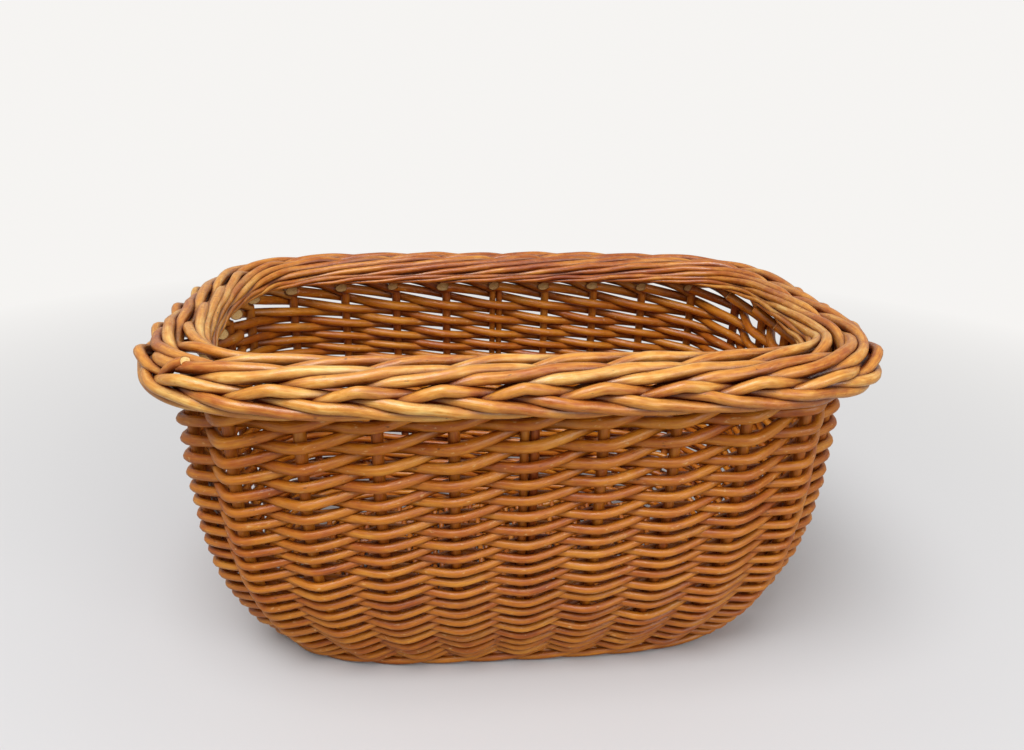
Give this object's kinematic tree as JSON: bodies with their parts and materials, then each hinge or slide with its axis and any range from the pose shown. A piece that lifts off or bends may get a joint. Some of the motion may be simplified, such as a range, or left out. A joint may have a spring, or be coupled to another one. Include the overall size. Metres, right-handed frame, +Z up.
{
  "type": "storage basket",
  "caption": "Open rounded-rectangular willow storage basket with a woven side, upright stakes and a broad plaited border.",
  "frame": {"origin": "middle of the footprint, on the surface that the basket stands on", "axes": "+X along the basket's length, +Z up, -Y is the side that faces the picture"},
  "size_m": [0.4398, 0.297, 0.2219],
  "materials": {
    "stake_willow": "varnished willow rod, semi-gloss",
    "weave_willow": "varnished willow rod, semi-gloss",
    "border_willow": "varnished willow rod, golden, semi-gloss",
    "base_willow": "varnished willow rod, satin"
  },
  "bodies": {
    "root": {"stake_01": "stake_willow", "stake_02": "stake_willow", "stake_03": "stake_willow", "stake_04": "stake_willow", "stake_05": "stake_willow", "stake_06": "stake_willow", "stake_07": "stake_willow", "stake_08": "stake_willow", "stake_09": "stake_willow", "stake_10": "stake_willow", "stake_11": "stake_willow", "stake_12": "stake_willow", "stake_13": "stake_willow", "stake_14": "stake_willow", "stake_15": "stake_willow", "stake_16": "stake_willow", "stake_17": "stake_willow", "stake_18": "stake_willow", "stake_19": "stake_willow", "stake_20": "stake_willow", "stake_21": "stake_willow", "stake_22": "stake_willow", "stake_23": "stake_willow", "stake_24": "stake_willow", "stake_25": "stake_willow", "stake_26": "stake_willow", "stake_27": "stake_willow", "stake_28": "stake_willow", "side_weave_01": "weave_willow", "side_weave_02": "weave_willow", "side_weave_03": "weave_willow", "side_weave_04": "weave_willow", "side_weave_05": "weave_willow", "side_weave_06": "weave_willow", "side_weave_07": "weave_willow", "side_weave_08": "weave_willow", "side_weave_09": "weave_willow", "side_weave_10": "weave_willow", "side_weave_11": "weave_willow", "side_weave_12": "weave_willow", "side_weave_13": "weave_willow", "side_weave_14": "weave_willow", "base_stick_1": "base_willow", "base_stick_2": "base_willow", "base_stick_3": "base_willow", "base_stick_4": "base_willow", "base_stick_5": "base_willow", "base_stick_6": "base_willow", "base_weave_lower": "base_willow", "base_weave_upper": "base_willow", "foot_wale": "weave_willow", "border_inner_plait": "border_willow", "border_under_plait": "border_willow"}
  },
  "joints": []
}
